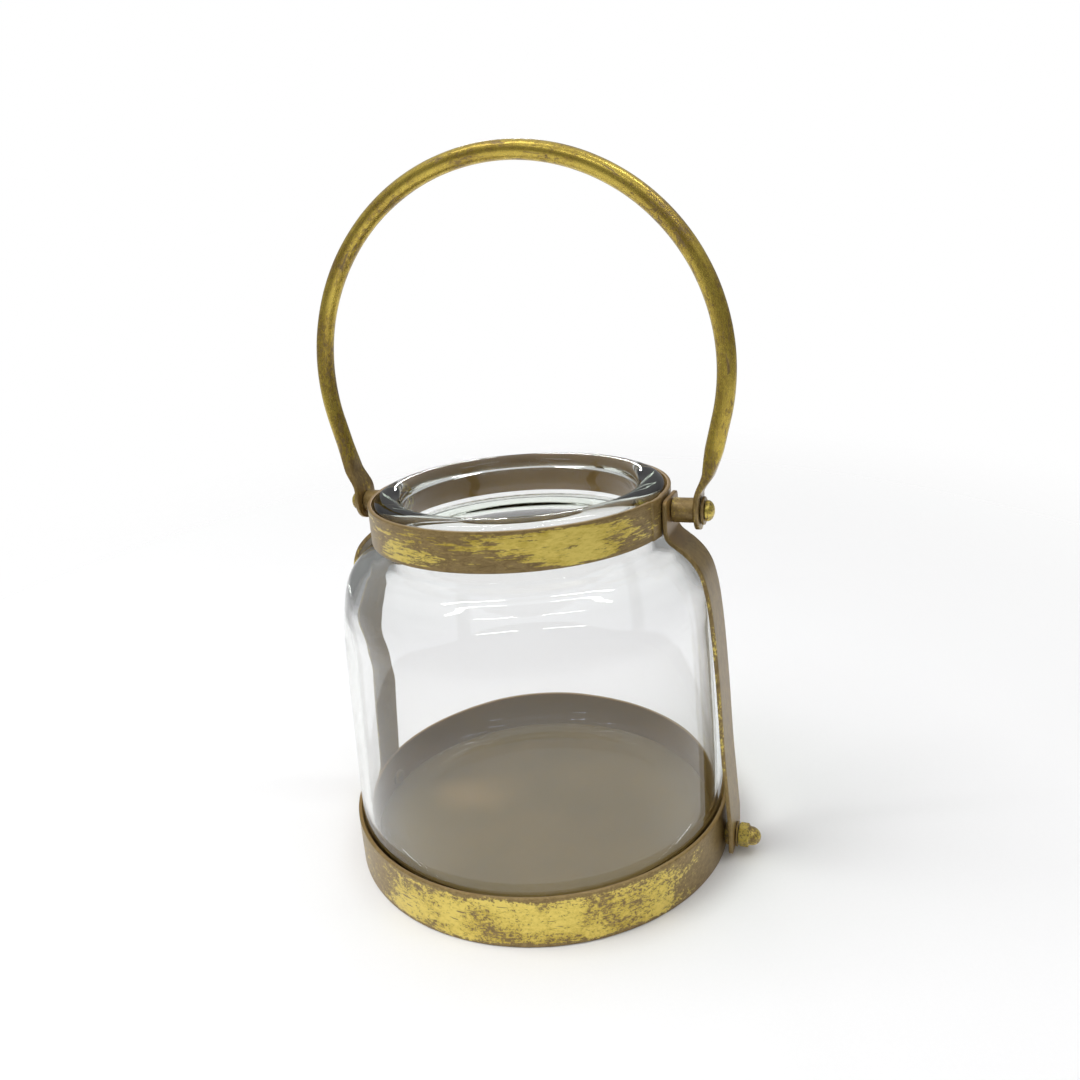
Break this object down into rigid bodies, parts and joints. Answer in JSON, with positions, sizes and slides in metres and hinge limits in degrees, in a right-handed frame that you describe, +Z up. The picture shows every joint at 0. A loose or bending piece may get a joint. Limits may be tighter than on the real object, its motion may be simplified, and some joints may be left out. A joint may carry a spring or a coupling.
{
  "type": "jar lantern",
  "caption": "Wide-mouthed clear glass jar held in a gilded steel strap frame with a round tray, a neck collar and an arched bail handle that swings over the mouth to carry or hang it.",
  "frame": {"origin": "centre of the tray's underside, on the surface the lantern stands on", "axes": "+Z up through the jar's mouth; +X along the handle's pivot line, from the left strap to the right strap; +Y away from the front"},
  "size_m": [0.1814, 0.154, 0.2682],
  "materials": {
    "clear_glass": "clear soda-lime glass with a faint grey-green tint in the thick lip and heel",
    "gilded_steel": "antique gold leaf paint, rubbed through to a taupe-brown ground, satin",
    "taupe_steel": "smooth satin taupe-brown paint",
    "gilded_hardware": "brown-gold paint over steel, glossier on the rounded heads"
  },
  "bodies": {
    "lantern": {"glass_jar": "clear_glass", "base_ring": "gilded_steel", "base_plate": "taupe_steel", "collar_band": "gilded_steel", "left_strap": "gilded_steel", "right_strap": "gilded_steel", "left_spacer_tube": "gilded_hardware", "right_spacer_tube": "gilded_hardware", "left_pivot_bolt": "gilded_hardware", "right_pivot_bolt": "gilded_hardware", "left_pivot_washer": "gilded_hardware", "right_pivot_washer": "gilded_hardware", "left_pivot_nut": "gilded_hardware", "right_pivot_nut": "gilded_hardware", "left_lower_bolt": "gilded_hardware", "right_lower_bolt": "gilded_hardware", "left_spacer_nut": "gilded_hardware", "right_spacer_nut": "gilded_hardware", "left_lower_washer": "gilded_hardware", "right_lower_washer": "gilded_hardware", "left_acorn_nut": "gilded_hardware", "right_acorn_nut": "gilded_hardware"},
    "handle": {"bail_handle": "gilded_steel"}
  },
  "joints": [
    {"name": "handle_swing", "type": "hinge", "parent": "lantern", "child": "handle", "pos_m": [0, 0, 0.1389], "axis": [1, 0, 0], "range_deg": [-138, 138]}
  ]
}
